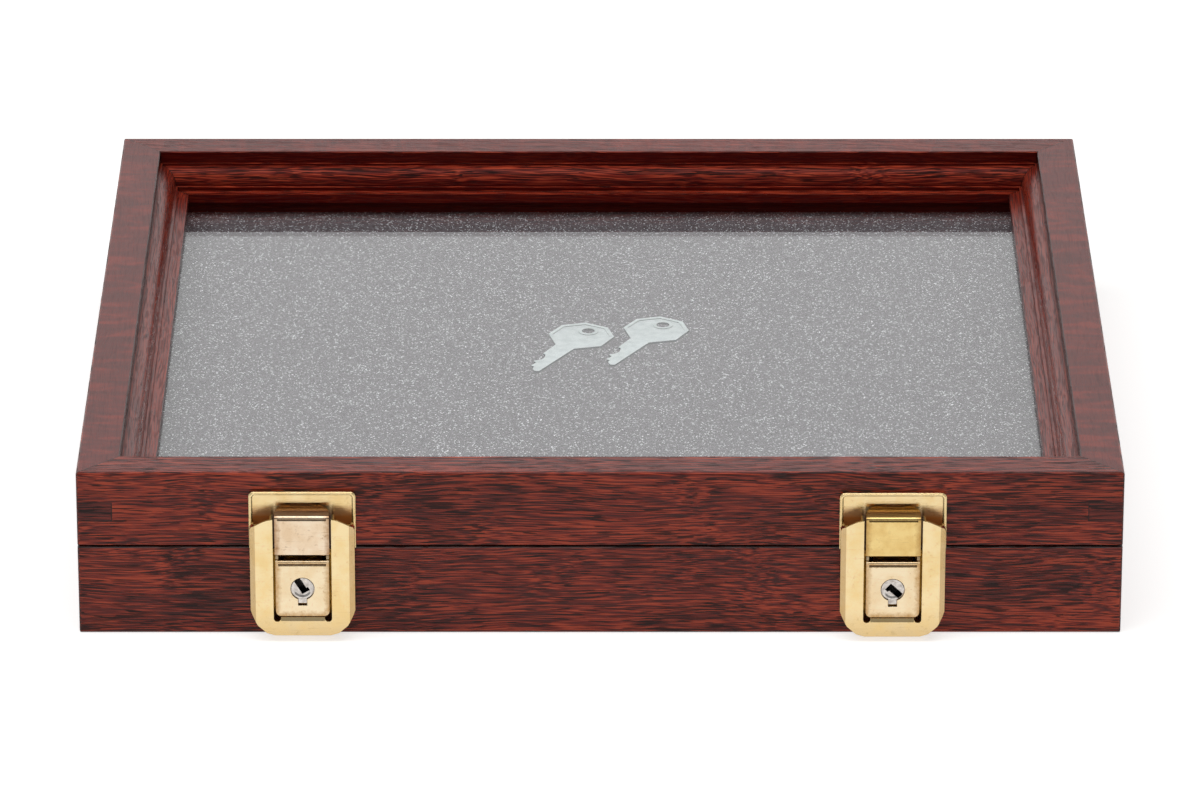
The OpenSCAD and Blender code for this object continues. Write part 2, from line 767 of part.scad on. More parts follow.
base_front_rail();
base_back_rail();
base_left_rail();
base_right_rail();
bottom_panel();
foam_pad();
key_left();
key_right();
lid_front_rail();
lid_back_rail();
lid_left_rail();
lid_right_rail();
lid_corner_keys();
glass_pane();
glass_stops();
hinge_leaf_base_left();
hinge_leaf_base_right();
hinge_leaf_lid_left();
hinge_leaf_lid_right();
hinge_pin_left();
hinge_pin_right();
hinge_screws_base();
hinge_screws_lid();
strike_plate_left();
strike_plate_right();
strike_screws();
latch_plate_left();
latch_plate_right();
latch_screws();
latch_cover_left();
latch_cover_right();
lever_rivets();
lock_lever_left();
lock_lever_right();
hook_pin_left();
hook_pin_right();
draw_hook_left();
draw_hook_right();
lock_barrel_left();
lock_barrel_right();
lock_plug_left();
lock_plug_right();
lock_tongue_left();
lock_tongue_right();
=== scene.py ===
import math
import bpy
from mathutils import Matrix, Vector


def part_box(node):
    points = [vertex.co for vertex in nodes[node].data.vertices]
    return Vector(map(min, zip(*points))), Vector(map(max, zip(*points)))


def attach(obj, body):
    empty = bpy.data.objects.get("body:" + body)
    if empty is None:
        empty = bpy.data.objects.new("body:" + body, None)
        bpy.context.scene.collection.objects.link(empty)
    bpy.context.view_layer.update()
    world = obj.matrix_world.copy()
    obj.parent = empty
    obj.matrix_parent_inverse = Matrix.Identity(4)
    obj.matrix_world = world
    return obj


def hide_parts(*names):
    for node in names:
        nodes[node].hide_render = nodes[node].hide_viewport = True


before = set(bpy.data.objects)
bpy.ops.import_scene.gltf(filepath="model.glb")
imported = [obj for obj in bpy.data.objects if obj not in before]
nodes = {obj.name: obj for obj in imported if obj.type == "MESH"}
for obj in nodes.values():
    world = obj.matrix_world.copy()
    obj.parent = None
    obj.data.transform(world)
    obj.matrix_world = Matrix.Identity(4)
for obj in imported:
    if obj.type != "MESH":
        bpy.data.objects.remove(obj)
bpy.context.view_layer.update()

# The case stands on a white table in front of a white wall, seen from the front and above.
# A long lens keeps its sides nearly parallel. The camera's place was solved from the
# corners of the case.
CAMERA_AT = Vector((-0.00477, -2.28075, 0.98353))
CAMERA_DIP = 0.400873
CAMERA_YAW = 0.00218
CAMERA_ROLL = 0.00087
LENS_MM = 241.58
SENSOR_MM = 36

ahead = Vector((math.sin(CAMERA_YAW) * math.cos(CAMERA_DIP),
                math.cos(CAMERA_YAW) * math.cos(CAMERA_DIP), -math.sin(CAMERA_DIP)))
level = Vector((math.cos(CAMERA_YAW), -math.sin(CAMERA_YAW), 0))
upward = level.cross(ahead)
across = level * math.cos(CAMERA_ROLL) + upward * math.sin(CAMERA_ROLL)
upright = upward * math.cos(CAMERA_ROLL) - level * math.sin(CAMERA_ROLL)
camera = bpy.data.objects.new("camera", bpy.data.cameras.new("camera"))
camera.data.sensor_width = SENSOR_MM
camera.data.lens = LENS_MM
camera.data.clip_start = 0.1
camera.data.clip_end = 20
turn = Matrix((across, upright, -ahead)).transposed().to_4x4()
camera.matrix_world = Matrix.Translation(CAMERA_AT) @ turn
bpy.context.scene.collection.objects.link(camera)
bpy.context.scene.camera = camera
bpy.context.scene.view_settings.view_transform = "Standard"

# Matt white paper on the table. It shows as plain white to the camera, and keeps the soft
# shadow where the case stands on it.
PAPER = "#e6e6e4"
PAPER_REACH = 4.0
GLOW_SEEN = 0.62
GLOW_MIRRORED = 0.4
GLOW_THROUGH_GLASS = 0.5


def linear(code):
    """A colour written as an sRGB hex value, as the linear colour that a shader takes."""
    parts = [int(code[i:i + 2], 16) / 255 for i in (1, 3, 5)]
    return tuple(p / 12.92 if p <= 0.04045 else ((p + 0.055) / 1.055) ** 2.4 for p in parts) + (1.0,)


def add(tree, kind, values=None, links=None, **settings):
    """A new node of that kind, with its settings, its input values and its links. A link comes from
    a socket, or from a node, which stands for the first of its outputs that is in use."""
    made = tree.nodes.new(kind)
    for name, value in settings.items():
        setattr(made, name, value)
    for key, value in (values or {}).items():
        made.inputs[key].default_value = value
    for key, source in (links or {}).items():
        if isinstance(source, bpy.types.Node):
            source = next(socket for socket in source.outputs if socket.enabled)
        tree.links.new(source, made.inputs[key])
    return made


def material(name):
    """A new material with an empty tree, and that tree."""
    made = bpy.data.materials.new(name)
    made.use_nodes = True
    made.node_tree.nodes.clear()
    return made, made.node_tree


paper, tree = material("white_table_paper")
path = add(tree, "ShaderNodeLightPath")
seen = add(tree, "ShaderNodeMath", {1: GLOW_SEEN}, {0: path.outputs["Is Camera Ray"]}, operation="MULTIPLY")
mirrored = add(tree, "ShaderNodeMath", {1: GLOW_MIRRORED}, {0: path.outputs["Is Glossy Ray"]},
               operation="MULTIPLY")
through = add(tree, "ShaderNodeMath", {1: GLOW_THROUGH_GLASS}, {0: path.outputs["Is Transmission Ray"]},
              operation="MULTIPLY")
glow = add(tree, "ShaderNodeMath", links={0: seen, 1: mirrored}, operation="ADD")
glow = add(tree, "ShaderNodeMath", links={0: glow, 1: through}, operation="MAXIMUM")
white = add(tree, "ShaderNodeEmission", {"Color": (1, 1, 1, 1)}, {"Strength": glow})
matt = add(tree, "ShaderNodeBsdfDiffuse", {"Color": linear(PAPER)})
both = add(tree, "ShaderNodeAddShader", links={0: matt, 1: white})
add(tree, "ShaderNodeOutputMaterial", links={"Surface": both})
sheet = bpy.data.meshes.new("table")
sheet.from_pydata([(-PAPER_REACH, -PAPER_REACH, 0), (PAPER_REACH, -PAPER_REACH, 0),
                   (PAPER_REACH, PAPER_REACH, 0), (-PAPER_REACH, PAPER_REACH, 0)], [], [(0, 1, 2, 3)])
sheet.materials.append(paper)
table = bpy.data.objects.new("table", sheet)
bpy.context.scene.collection.objects.link(table)

# Soft studio light. The white wall behind the case is what the tops, the glass and the brass
# mirror. The ceiling and the room behind the camera are dimmer. One wide softbox hangs over
# the case, a little to the front.
FILL_FRONT = 0.45
FILL_BACK = 0.12
ROOM_MIRRORED = 0.3
CEILING_MIRRORED = 0.4


def ends(low, high, at_low, at_high):
    """The inputs of a Map Range node that gives at_low up to low and at_high from high on."""
    return {"From Min": low, "From Max": high, "To Min": at_low, "To Max": at_high}


world = bpy.data.worlds.new("studio")
bpy.context.scene.world = world
world.use_nodes = True
tree = world.node_tree
tree.nodes.clear()
path = add(tree, "ShaderNodeLightPath")
way = add(tree, "ShaderNodeTexCoord")
way = add(tree, "ShaderNodeSeparateXYZ", links={0: way.outputs["Generated"]})
room = add(tree, "ShaderNodeMapRange", ends(-0.6, 0.15, ROOM_MIRRORED, 1.0), {"Value": way.outputs["Y"]})
ceiling = add(tree, "ShaderNodeMapRange", ends(0.6, 0.8, 1.0, CEILING_MIRRORED), {"Value": way.outputs["Z"]})
room = add(tree, "ShaderNodeMath", links={0: room, 1: ceiling}, operation="MINIMUM")
fill = add(tree, "ShaderNodeMapRange", ends(-0.8, 0.2, FILL_FRONT, FILL_BACK), {"Value": way.outputs["Y"]})
bounced = add(tree, "ShaderNodeMath", links={0: path.outputs["Is Glossy Ray"],
                                             1: path.outputs["Is Transmission Ray"]}, operation="MAXIMUM")
strength = add(tree, "ShaderNodeMix", links={"Factor": bounced, "A": fill, "B": room}, data_type="FLOAT")
strength = add(tree, "ShaderNodeMix", {"B": 1.0}, {"Factor": path.outputs["Is Camera Ray"], "A": strength},
               data_type="FLOAT")
back = add(tree, "ShaderNodeBackground", {"Color": (1, 1, 1, 1)}, {"Strength": strength})
add(tree, "ShaderNodeOutputWorld", links={"Surface": back})

lamp = bpy.data.lights.new("softbox", "AREA")
lamp.shape = "RECTANGLE"
lamp.size = 2.6
lamp.size_y = 1.5
lamp.energy = 25
softbox = bpy.data.objects.new("softbox", lamp)
softbox.location = (-0.25, -0.3, 1.9)
softbox.rotation_euler = (0.157, -0.129, 0)
bpy.context.scene.collection.objects.link(softbox)

# The base is a frame of four oak boards, mitred at the corners, stained mahogany red and
# lacquered satin. Red oak is ring-porous: rows of long dark pores follow each growth ring.
HALF_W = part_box("lid_corner_keys")[1][0]
HALF_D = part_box("lid_corner_keys")[1][1]
SEAM = (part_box("base_front_rail")[1][2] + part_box("lid_front_rail")[0][2]) / 2
LID_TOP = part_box("lid_front_rail")[1][2]
FLAT_WIDTH = 0.012
# dark stain in the pores and joints, and also the painted shade in the gap under the lid
DARK_STAIN_AND_SHADE = "#140604"
# dark red painted on the upright walls inside the frame, a painted shade
WALL_SHADE = "#460302"
SIDE_MOULDING = "#74271e"
WANDER_MM = 12
HEART_MM = (0, 9, -26)
PORES_PER_MM = (0.12, 2.7, 2.7)
FIBRES_PER_MM = (0.07, 3.0, 3.0)
STREAKS_PER_MM = (0.008, 0.13, 0.13)
RAYS_PER_MM = (0.22, 0.06, 0.06)
PORE_INK = 0.85


def stops(ramp, *pairs):
    """Sets the stops of a colour ramp to these places and hex colours."""
    bar = ramp.color_ramp
    while len(bar.elements) < len(pairs):
        bar.elements.new(0.5)
    for element, (place, code) in zip(bar.elements, pairs):
        element.position = place
        element.color = linear(code)


def wear(names, made):
    """Gives CAD nodes this material in place of their plain one."""
    for name in names:
        for held in nodes[name].material_slots:
            held.material = made


def away(tree, place, middle):
    """How far a place is from a middle, to either side."""
    off = add(tree, "ShaderNodeMath", {1: middle}, {0: place}, operation="SUBTRACT")
    return add(tree, "ShaderNodeMath", links={0: off}, operation="ABSOLUTE")


def dark_line(tree, colour, off, full, gone, depth):
    """The colour with a dark line in it, which stands for stain in the joints and for painted shade in the
    gap under the lid: as deep as depth where off is under full, and gone where it is over gone."""
    line = add(tree, "ShaderNodeMapRange", ends(full, gone, depth, 0.0), {"Value": off})
    return add(tree, "ShaderNodeMix", {"B": linear(DARK_STAIN_AND_SHADE)}, {"Factor": line, "A": colour},
               data_type="RGBA")


def growth_rings(tree, mm, ring):
    """Places along the wandering grain of a board, in mm, and how much early wood lies there. ring
    is how far the growth rings are apart."""
    slow = add(tree, "ShaderNodeMapping", {"Scale": (0.007, 0.014, 0.014)}, {"Vector": mm})
    wander = add(tree, "ShaderNodeTexNoise", {"Scale": 1.0, "Detail": 3.0, "Roughness": 0.55},
                 {"Vector": slow})
    shift = add(tree, "ShaderNodeVectorMath", {1: (0.5, 0.5, 0.5)}, {0: wander.outputs["Color"]},
                operation="SUBTRACT")
    shift = add(tree, "ShaderNodeVectorMath", {1: (0, WANDER_MM, WANDER_MM)}, {0: shift},
                operation="MULTIPLY")
    bent = add(tree, "ShaderNodeVectorMath", links={0: mm, 1: shift}, operation="ADD")
    # the rings of a flat-sawn board are long cones about a heart some way below the board
    part = add(tree, "ShaderNodeSeparateXYZ", links={0: bent})
    heart = add(tree, "ShaderNodeCombineXYZ", {0: 0.0}, {1: part.outputs[1], 2: part.outputs[2]})
    heart = add(tree, "ShaderNodeVectorMath", {1: HEART_MM}, {0: heart}, operation="ADD")
    radius = add(tree, "ShaderNodeVectorMath", links={0: heart}, operation="LENGTH")
    taper = add(tree, "ShaderNodeMath", {1: 0.035}, {0: part.outputs[0]}, operation="MULTIPLY")
    radius = add(tree, "ShaderNodeMath", links={0: radius, 1: taper}, operation="ADD")
    count = add(tree, "ShaderNodeMath", {1: ring}, {0: radius}, operation="DIVIDE")
    band = add(tree, "ShaderNodeMath", links={0: count}, operation="FRACT")
    early = add(tree, "ShaderNodeValToRGB", links={0: band})
    stops(early, (0.0, "#ffffff"), (0.35, "#c0c0c0"), (0.6, "#404040"), (0.93, "#303030"), (1.0, "#ffffff"))
    return bent, early


def open_pores(tree, bent, early):
    """Dark dashes about 8 mm long and a third of a millimetre wide, denser in the early wood."""
    long_way = add(tree, "ShaderNodeMapping", {"Scale": PORES_PER_MM}, {"Vector": bent})
    dashes = add(tree, "ShaderNodeTexNoise", {"Scale": 1.0, "Detail": 1.0, "Roughness": 0.5},
                 {"Vector": long_way})
    held = add(tree, "ShaderNodeMapRange", ends(0.0, 1.0, 0.6, 0.5), {"Value": early})
    above = add(tree, "ShaderNodeMath", links={0: dashes, 1: held}, operation="SUBTRACT")
    return add(tree, "ShaderNodeMapRange", ends(0.0, 0.04, 0.0, 1.0), {"Value": above})


def stained_fibres(tree, bent, early, dark, mid, pale):
    """Fine streaks, paler and darker, where the stain took more or less."""
    fine = add(tree, "ShaderNodeMapping", {"Scale": FIBRES_PER_MM}, {"Vector": bent})
    fibres = add(tree, "ShaderNodeTexNoise", {"Scale": 1.0, "Detail": 1.0, "Roughness": 0.5},
                 {"Vector": fine})
    broad = add(tree, "ShaderNodeMapping", {"Scale": STREAKS_PER_MM}, {"Vector": bent})
    streaks = add(tree, "ShaderNodeTexNoise", {"Scale": 1.0, "Detail": 2.0}, {"Vector": broad})
    streaks = add(tree, "ShaderNodeMath", {1: 0.3, 2: 0.35}, {0: streaks}, operation="MULTIPLY_ADD")
    tone = add(tree, "ShaderNodeMath", links={0: fibres, 1: streaks}, operation="ADD")
    tone = add(tree, "ShaderNodeMapRange", ends(0.87, 1.13, 0.0, 1.0), {"Value": tone})
    colour = add(tree, "ShaderNodeValToRGB", links={0: tone})
    stops(colour, (0.0, dark), (0.5, mid), (1.0, pale))
    deep = add(tree, "ShaderNodeMath", {1: 0.22}, {0: early}, operation="MULTIPLY")
    return add(tree, "ShaderNodeMix", {"B": linear(dark)}, {"Factor": deep, "A": colour}, data_type="RGBA")


def glued_mitre(tree, colour, height, from_side, from_end):
    """The colour with the glued mitre as a thin dark line across each corner."""
    off = add(tree, "ShaderNodeMath", links={0: from_end, 1: from_side}, operation="SUBTRACT")
    off = add(tree, "ShaderNodeMath", links={0: off}, operation="ABSOLUTE")
    return dark_line(tree, colour, off, 0.0001, 0.0003, 0.75)


def stained_oak(name, along_y, offset, ring=3.4, mid="#7e251a", pale="#b5472d", dark="#42110c",
                joint=glued_mitre, rays=0.0):
    """Open-grained oak with its grain along X or Y. offset picks another part of the board, in mm,
    joint is the function that draws the joint at the corners, and rays is how far the blotches of
    a quarter-sawn board hide the pores on the flat."""
    made, tree = material(name)
    co = add(tree, "ShaderNodeTexCoord")
    mm = add(tree, "ShaderNodeMapping", {"Location": offset, "Rotation": (0, 0, math.radians(90 * along_y)),
                                         "Scale": (1000, 1000, 1000)}, {"Vector": co.outputs["Object"]})
    bent, early = growth_rings(tree, mm, ring)
    pores = open_pores(tree, bent, early)
    colour = stained_fibres(tree, bent, early, dark, mid, pale)

    spot = add(tree, "ShaderNodeSeparateXYZ", links={0: co.outputs["Object"]})
    to_side = add(tree, "ShaderNodeMath", links={0: spot.outputs[0]}, operation="ABSOLUTE")
    to_end = add(tree, "ShaderNodeMath", links={0: spot.outputs[1]}, operation="ABSOLUTE")
    from_side = add(tree, "ShaderNodeMath", {0: HALF_W}, {1: to_side}, operation="SUBTRACT")
    from_end = add(tree, "ShaderNodeMath", {0: HALF_D}, {1: to_end}, operation="SUBTRACT")
    inset = add(tree, "ShaderNodeMath", links={0: from_side, 1: from_end}, operation="MINIMUM")
    inside = add(tree, "ShaderNodeMath", {1: FLAT_WIDTH - 0.0001}, {0: inset}, operation="GREATER_THAN")
    if along_y:
        # the moulding of the sides was cut across the pores and is calmer
        even = add(tree, "ShaderNodeMath", {1: 0.5}, {0: inside}, operation="MULTIPLY")
        colour = add(tree, "ShaderNodeMix", {"B": linear(SIDE_MOULDING)}, {"Factor": even, "A": colour},
                     data_type="RGBA")
        even = add(tree, "ShaderNodeMath", {1: -0.5, 2: 1.0}, {0: inside}, operation="MULTIPLY_ADD")
        pores = add(tree, "ShaderNodeMath", links={0: pores, 1: even}, operation="MULTIPLY")
    flat = add(tree, "ShaderNodeMath", {1: LID_TOP - 0.0001}, {0: spot.outputs[2]}, operation="GREATER_THAN")
    over = add(tree, "ShaderNodeMath", {1: rays}, {0: flat}, operation="MULTIPLY")
    if rays:
        # rays cut lengthwise show on the flat as soft blotches across the grain
        cross = add(tree, "ShaderNodeMapping", {"Rotation": (0, 0, 0.12), "Scale": RAYS_PER_MM},
                    {"Vector": mm})
        cross = add(tree, "ShaderNodeTexNoise", {"Scale": 1.0, "Detail": 3.0, "Roughness": 0.55,
                                                 "Distortion": 0.8}, {"Vector": cross})
        cross = add(tree, "ShaderNodeMapRange", ends(0.35, 0.65, 0.0, 1.0), {"Value": cross})
        blotch = add(tree, "ShaderNodeValToRGB", links={0: cross})
        stops(blotch, (0.0, "#5c201b"), (0.5, "#6b241e"), (1.0, "#8a3226"))
        colour = add(tree, "ShaderNodeMix", links={"Factor": over, "A": colour, "B": blotch},
                     data_type="RGBA")
    calm = add(tree, "ShaderNodeMath", {1: -0.75, 2: PORE_INK}, {0: over}, operation="MULTIPLY_ADD")
    ink = add(tree, "ShaderNodeMath", links={0: pores, 1: calm}, operation="MULTIPLY")
    colour = add(tree, "ShaderNodeMix", {"B": linear(DARK_STAIN_AND_SHADE)}, {"Factor": ink, "A": colour},
                 data_type="RGBA")

    # the upright walls inside the frame are painted darker than the flats, a painted shade, most at the front
    # and back
    facing = add(tree, "ShaderNodeSeparateXYZ", links={0: co.outputs["Normal"]})
    wall_shade_range = ends(0.0, 0.15, 0.4, 0.0) if along_y else ends(0.0, 0.5, 0.85, 0.0)
    wall_shade = add(tree, "ShaderNodeMapRange", wall_shade_range, {"Value": facing.outputs[2]})
    wall_shade = add(tree, "ShaderNodeMath", links={0: wall_shade, 1: inside}, operation="MULTIPLY")
    colour = add(tree, "ShaderNodeMix", {"B": linear(WALL_SHADE)}, {"Factor": wall_shade, "A": colour},
                 data_type="RGBA")
    if along_y:
        # a thin dark line along the corner of the step beside the flat
        colour = dark_line(tree, colour, away(tree, inset, FLAT_WIDTH + 0.0001), 0.0001, 0.0003, 0.8)
    if joint:
        colour = joint(tree, colour, spot.outputs[2], from_side, from_end)
    # a dark line is painted along the eased edges where the lid meets the base, a painted shade in the gap
    # between them
    colour = dark_line(tree, colour, away(tree, spot.outputs[2], SEAM), 0.0004, 0.0007, 0.85)

    rough = add(tree, "ShaderNodeMapRange", ends(0.0, 1.0, 0.26, 0.6), {"Value": ink})
    height = add(tree, "ShaderNodeMath", {1: -1.0}, {0: ink}, operation="MULTIPLY")
    relief = add(tree, "ShaderNodeBump", {"Strength": 0.7, "Distance": 0.00008}, {"Height": height})
    # the moulding of the front and back has less lacquer than the flats
    shine = add(tree, "ShaderNodeMapRange", ends(0.0, 1.0, 0.35, 0.5 if along_y else 0.1), {"Value": inside})
    skin = add(tree, "ShaderNodeBsdfPrincipled", {"IOR": 1.46},
               {"Base Color": colour, "Roughness": rough, "Normal": relief, "Specular IOR Level": shine})
    add(tree, "ShaderNodeOutputMaterial", links={"Surface": skin})
    return made


for rail, along_y, offset in (("front", False, (40, 0, 6)), ("back", False, (310, 22, -9)),
                              ("left", True, (120, -31, 12)), ("right", True, (-210, 17, 3))):
    wear([f"base_{rail}_rail"], stained_oak(f"mahogany_stained_oak_base_{rail}", along_y, offset))

# The bottom is a thin oak-faced panel that slides in the rails' grooves. Only its underside
# shows, in the same stain.
wear(["bottom_panel"], stained_oak("stained_oak_bottom_panel", False, (77, 60, 40), ring=9.0, joint=None))

# The bed is soft foam board wrapped in charcoal glitter felt, cut to drop in between the rails.
# It is drawn down a little at its edges, and flat where the keys lie.
PAD_LOW, PAD_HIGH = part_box("foam_pad")
PAD_SWELL = 0.0006
PAD_FOOT_GAP = 0.0002
VOXEL = 0.005
CLOTH_FRAMES = 20


def slab(name, low, high):
    """A closed block between two corners."""
    x, y, z = zip(low, high)
    corners = [(x[i & 1], y[i >> 1 & 1], z[i >> 2 & 1]) for i in range(8)]
    sides = [(0, 2, 3, 1), (4, 5, 7, 6), (0, 1, 5, 4), (2, 6, 7, 3), (0, 4, 6, 2), (1, 3, 7, 5)]
    mesh = bpy.data.meshes.new(name)
    mesh.from_pydata(corners, [], sides)
    block = bpy.data.objects.new(name, mesh)
    bpy.context.scene.collection.objects.link(block)
    return block


def finished(block):
    """The object's mesh with its modifiers applied."""
    worked = block.evaluated_get(bpy.context.evaluated_depsgraph_get())
    return bpy.data.meshes.new_from_object(worked)


start = slab("pad_start", Vector(PAD_LOW) + Vector((PAD_SWELL, PAD_SWELL, PAD_FOOT_GAP)),
             Vector(PAD_HIGH) - Vector((PAD_SWELL, PAD_SWELL, PAD_SWELL)))
grid = start.modifiers.new("even", "REMESH")
grid.mode = "VOXEL"
grid.voxel_size = VOXEL
pad_mesh = finished(start)
bpy.data.objects.remove(start)
pad = bpy.data.objects.new("padded_bed", pad_mesh)
bpy.context.scene.collection.objects.link(pad)
rest_shape = [vertex.co.copy() for vertex in pad_mesh.vertices]
cloth = pad.modifiers.new("felt", "CLOTH")
cloth.settings.quality = 5
cloth.settings.mass = 0.3
cloth.settings.use_pressure = True
cloth.settings.uniform_pressure_force = 4
cloth.settings.effector_weights.gravity = 0
for step in range(1, CLOTH_FRAMES + 1):
    bpy.context.scene.frame_set(step)
swollen = finished(pad)
pad.modifiers.remove(cloth)
bpy.context.scene.frame_set(1)
for vertex, new in zip(pad_mesh.vertices, swollen.vertices):
    way_out = new.co - rest_shape[vertex.index]
    if way_out.length > PAD_SWELL:
        way_out *= PAD_SWELL / way_out.length
    vertex.co = rest_shape[vertex.index] + way_out
bpy.data.meshes.remove(swollen)
for vertex in pad_mesh.vertices:
    vertex.co.z = min(max(vertex.co.z, PAD_LOW[2]), PAD_HIGH[2])
for face in pad_mesh.polygons:
    face.use_smooth = True

felt, tree = material("charcoal_glitter_felt")
co = add(tree, "ShaderNodeTexCoord")
mm = add(tree, "ShaderNodeMapping", {"Scale": (1000, 1000, 1000)}, {"Vector": co.outputs["Object"]})
# grains of about a third of a millimetre, as coarse as the render can show
grains = add(tree, "ShaderNodeTexVoronoi", {"Scale": 2.8}, {"Vector": mm})
grain = add(tree, "ShaderNodeSeparateColor", links={0: grains.outputs["Color"]})
fuzz = add(tree, "ShaderNodeTexNoise", {"Scale": 0.9, "Detail": 4.0, "Roughness": 0.7}, {"Vector": mm})
tone = add(tree, "ShaderNodeMath", {1: 0.5}, {0: grain.outputs[0]}, operation="MULTIPLY")
tone = add(tree, "ShaderNodeMath", links={0: tone, 1: fuzz}, operation="ADD")
colour = add(tree, "ShaderNodeValToRGB", links={0: tone})
stops(colour, (0.45, "#3c373c"), (0.75, "#544e53"), (0.98, "#726c71"))
# a few grains are painted near white, painted glints of the glitter
painted_glint = add(tree, "ShaderNodeMath", {1: 0.94}, {0: grain.outputs[1]}, operation="GREATER_THAN")
colour = add(tree, "ShaderNodeMix", {"B": linear("#ececf0")}, {"Factor": painted_glint, "A": colour},
             data_type="RGBA")
pile = add(tree, "ShaderNodeBump", {"Strength": 0.6, "Distance": 0.0002}, {"Height": tone})
skin = add(tree, "ShaderNodeBsdfPrincipled", {"Roughness": 0.95, "Specular IOR Level": 0.2,
                                              "Sheen Weight": 0.15}, {"Base Color": colour, "Normal": pile})
add(tree, "ShaderNodeOutputMaterial", links={"Surface": skin})
pad_mesh.materials.clear()
pad_mesh.materials.append(felt)
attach(pad, "base")
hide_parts("foam_pad")

# Glitter is bonded all over the felt: thin flakes of silvered polyester film, each about
# 0.25 mm across and tilted its own way, so that a few catch the light from any side.
FLAKES_PER_M2 = 220000.0
FLAKE_RADIUS = 0.00014
FLAKE_TILT = 0.6
FLAKE_LIFT = 0.00006
BARE_EDGE = 0.004

glitter_film, tree = material("silvered_polyester_glitter")
co = add(tree, "ShaderNodeTexCoord")
patch = add(tree, "ShaderNodeTexNoise", {"Scale": 1500.0}, {"Vector": co.outputs["Object"]})
colour = add(tree, "ShaderNodeValToRGB", links={0: patch})
stops(colour, (0.35, "#b4b2b8"), (0.65, "#e2e3e6"))
skin = add(tree, "ShaderNodeBsdfPrincipled", {"Metallic": 0.8, "Roughness": 0.3}, {"Base Color": colour})
add(tree, "ShaderNodeOutputMaterial", links={"Surface": skin})

scatter = bpy.data.node_groups.new("scattered_flakes", "GeometryNodeTree")
scatter.is_modifier = True
for name, kind in (("Geometry", "Geometry"), ("Flakes per square metre", "Float"), ("Flake radius", "Float"),
                   ("Tilt", "Float"), ("Film", "Material")):
    scatter.interface.new_socket(name, in_out="INPUT", socket_type="NodeSocket" + kind)
scatter.interface.new_socket("Geometry", in_out="OUTPUT", socket_type="NodeSocketGeometry")
given = add(scatter, "NodeGroupInput").outputs
spots = add(scatter, "GeometryNodeDistributePointsOnFaces", {"Seed": 7},
            {"Mesh": given["Geometry"], "Density": given["Flakes per square metre"]})
flake = add(scatter, "GeometryNodeMeshCircle", {"Vertices": 4}, {"Radius": given["Flake radius"]},
            fill_type="NGON")
least = add(scatter, "ShaderNodeMath", {1: -1.0}, {0: given["Tilt"]}, operation="MULTIPLY")
low = add(scatter, "ShaderNodeCombineXYZ", {2: 0.0}, {0: least, 1: least})
high = add(scatter, "ShaderNodeCombineXYZ", {2: 3.1}, {0: given["Tilt"], 1: given["Tilt"]})
lean = add(scatter, "FunctionNodeRandomValue", {"Seed": 11}, {"Min": low, "Max": high},
           data_type="FLOAT_VECTOR")
sizes = add(scatter, "FunctionNodeRandomValue", {"Min": 0.5, "Max": 1.25, "Seed": 3}, data_type="FLOAT")
placed = add(scatter, "GeometryNodeInstanceOnPoints",
             links={"Points": spots, "Instance": flake, "Rotation": lean, "Scale": sizes})
raised = add(scatter, "GeometryNodeTranslateInstances",
             {"Translation": (0, 0, FLAKE_LIFT), "Local Space": False}, {"Instances": placed})
real = add(scatter, "GeometryNodeRealizeInstances", links={0: raised})
filmed = add(scatter, "GeometryNodeSetMaterial", links={"Geometry": real, "Material": given["Film"]})
add(scatter, "NodeGroupOutput", links={0: filmed})

x0, y0, z = PAD_LOW[0] + BARE_EDGE, PAD_LOW[1] + BARE_EDGE, PAD_HIGH[2]
x1, y1 = PAD_HIGH[0] - BARE_EDGE, PAD_HIGH[1] - BARE_EDGE
field = bpy.data.meshes.new("glitter_field")
field.from_pydata([(x0, y0, z), (x1, y0, z), (x1, y1, z), (x0, y1, z)], [], [(0, 1, 2, 3)])
glitter = bpy.data.objects.new("pad_glitter", field)
bpy.context.scene.collection.objects.link(glitter)
shower = glitter.modifiers.new("flakes", "NODES")
shower.node_group = scatter
keys = {item.name: item.identifier for item in scatter.interface.items_tree if item.in_out == "INPUT"}
shower[keys["Flakes per square metre"]] = FLAKES_PER_M2
shower[keys["Flake radius"]] = FLAKE_RADIUS
shower[keys["Tilt"]] = FLAKE_TILT
shower[keys["Film"]] = glitter_film
flakes = finished(glitter)
glitter.modifiers.remove(shower)
glitter.data = flakes
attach(glitter, "base")

# Two flat keys stamped from nickel-plated brass sheet lie on the bed. The plating is pale and
# slightly cloudy, with tumbled edges.
# near black painted behind the face of a lock, a painted shade
LOCK_SHADE = "#0c0a08"


